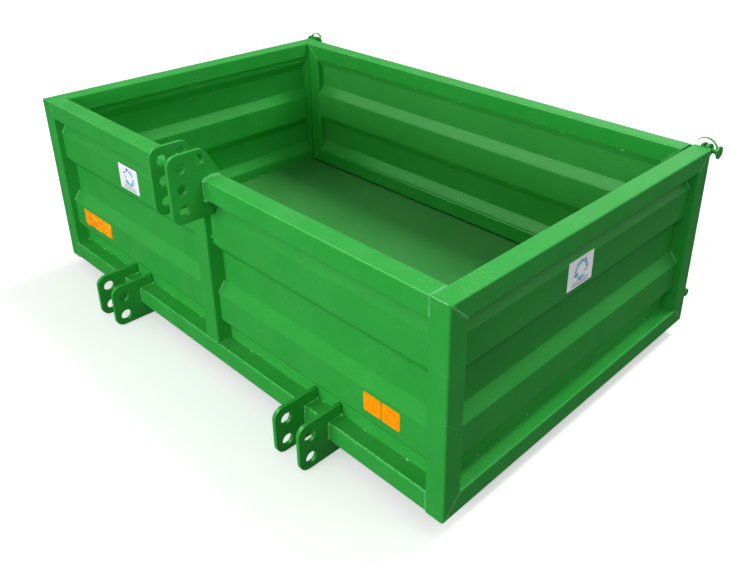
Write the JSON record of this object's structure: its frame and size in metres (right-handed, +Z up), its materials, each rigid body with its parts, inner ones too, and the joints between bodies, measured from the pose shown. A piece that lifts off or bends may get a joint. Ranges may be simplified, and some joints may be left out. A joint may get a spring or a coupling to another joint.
{
  "type": "tractor rear transport box",
  "caption": "Open-top steel transport box with ribbed sheet walls, hinged rear tailgate with lock pins, and front clevises for a tractor's three-point linkage.",
  "frame": {"origin": "on the ground under the middle of the whole box, hitch plates and tailgate lugs included", "axes": "+X to the right seen from the tractor, +Y rearwards to the tailgate, +Z up"},
  "size_m": [1.567, 1.099, 0.614],
  "materials": {
    "green_paint": "semi-gloss powder coat with fine texture",
    "amber_reflector": "glossy reflective film",
    "label_film": "satin printed film"
  },
  "bodies": {
    "box": {"floor_crossmember": "green_paint", "floor_sheet": "green_paint", "front_bottom_rail": "green_paint", "front_label": "label_film", "front_middle_post": "green_paint", "front_top_rail": "green_paint", "left_bottom_rail": "green_paint", "left_front_post": "green_paint", "left_front_sheet": "green_paint", "left_hinge_pin": "green_paint", "left_inner_hitch_plate": "green_paint", "left_outer_hitch_plate": "green_paint", "left_post_hinge_barrel": "green_paint", "left_post_lock_lug": "green_paint", "left_rear_post": "green_paint", "left_reflectors": "amber_reflector", "left_runner": "green_paint", "left_top_link_plate": "green_paint", "left_top_rail": "green_paint", "left_wall_sheet": "green_paint", "rear_sill": "green_paint", "right_bottom_rail": "green_paint", "right_front_post": "green_paint", "right_front_sheet": "green_paint", "right_hinge_pin": "green_paint", "right_inner_hitch_plate": "green_paint", "right_outer_hitch_plate": "green_paint", "right_post_hinge_barrel": "green_paint", "right_post_lock_lug": "green_paint", "right_rear_post": "green_paint", "right_reflectors": "amber_reflector", "right_runner": "green_paint", "right_top_link_plate": "green_paint", "right_top_rail": "green_paint", "right_wall_sheet": "green_paint", "side_label": "label_film"},
    "tailgate": {"gate_top_rail": "green_paint", "gate_bottom_rail": "green_paint", "gate_left_stile": "green_paint", "gate_right_stile": "green_paint", "gate_sheet": "green_paint", "left_gate_hinge_barrel": "green_paint", "right_gate_hinge_barrel": "green_paint", "left_gate_lock_tab": "green_paint", "right_gate_lock_tab": "green_paint"},
    "left_lock_pin_body": {"left_lock_pin": "green_paint", "left_lock_pin_clip": "green_paint"},
    "right_lock_pin_body": {"right_lock_pin": "green_paint", "right_lock_pin_clip": "green_paint"}
  },
  "joints": [
    {"name": "tailgate_hinge", "type": "hinge", "parent": "box", "child": "tailgate", "pos_m": [0, 0.5235, 0.12], "axis": [-1, 0, 0], "range_deg": [0, 100]},
    {"name": "left_lock_pin_slide", "type": "slide", "parent": "box", "child": "left_lock_pin_body", "axis": [1, 0, 0], "range_m": [0, 0.008]},
    {"name": "right_lock_pin_slide", "type": "slide", "parent": "box", "child": "right_lock_pin_body", "axis": [-1, 0, 0], "range_m": [0, 0.008]}
  ]
}
